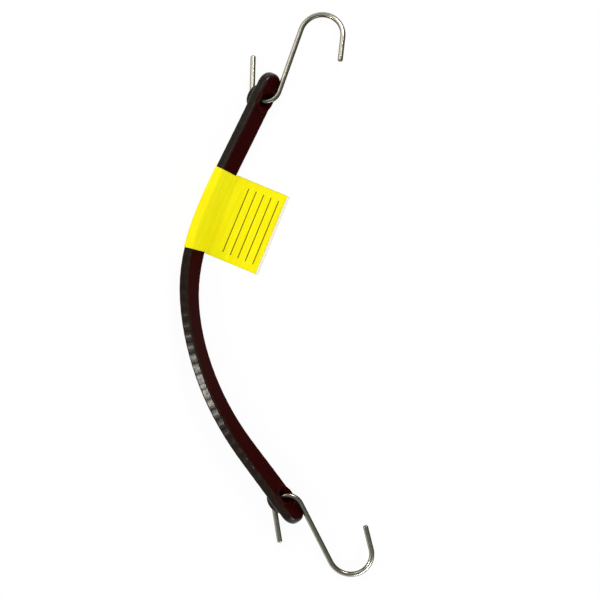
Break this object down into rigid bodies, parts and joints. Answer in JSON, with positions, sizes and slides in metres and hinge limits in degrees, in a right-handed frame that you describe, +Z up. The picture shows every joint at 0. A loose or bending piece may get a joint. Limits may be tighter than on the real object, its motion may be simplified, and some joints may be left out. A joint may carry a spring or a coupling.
{
  "type": "rubber tie-down strap with s-hooks",
  "caption": "Flat moulded rubber tie-down strap with a bossed eye and a bent wire S-hook at each end, and a folded film label; stretches between two anchor points.",
  "frame": {"origin": "middle of the footprint, on the surface that the strap lies on", "axes": "+Y from the second eye towards the first, along the strap's length as it lies; +X to the side that the label's flag stands out on; +Z up"},
  "size_m": [0.1584, 0.4606, 0.0231],
  "materials": {
    "rubber": "moulded, satin, very dark maroon black",
    "film": "plain bright yellow printed film, slight sheen",
    "hook_steel": "bright plated round wire"
  },
  "bodies": {
    "strap": {"eye_end_a": "rubber", "strap_web": "rubber", "label_wrap": "film"},
    "end_b": {"eye_end_b": "rubber"},
    "flag": {"label_flag": "film"},
    "hook_a": {"s_hook_a": "hook_steel"},
    "hook_b": {"s_hook_b": "hook_steel"}
  },
  "joints": [
    {"name": "strap_stretch", "type": "slide", "parent": "strap", "child": "end_b", "axis": [0.0508, -0.9987, 0], "range_m": [0, 0.2], "stiffness_N_per_m": 1400, "deforming": ["strap_web"]},
    {"name": "hook_a_swivel", "type": "hinge", "parent": "strap", "child": "hook_a", "pos_m": [-0.01266, 0.15889, 0.01233], "axis": [0.7271, -0.3546, 0.5878], "range_deg": [-110, 110]},
    {"name": "hook_b_swivel", "type": "hinge", "parent": "end_b", "child": "hook_b", "pos_m": [0.00388, -0.16605, 0.01232], "axis": [0.6576, 0.4884, 0.5736], "range_deg": [-110, 110]},
    {"name": "label_flag_fold", "type": "hinge", "parent": "strap", "child": "flag", "pos_m": [-0.04473, 0.06509, 0.0039], "axis": [-0.3815, -0.9244, 0], "range_deg": [-45, 90]}
  ]
}
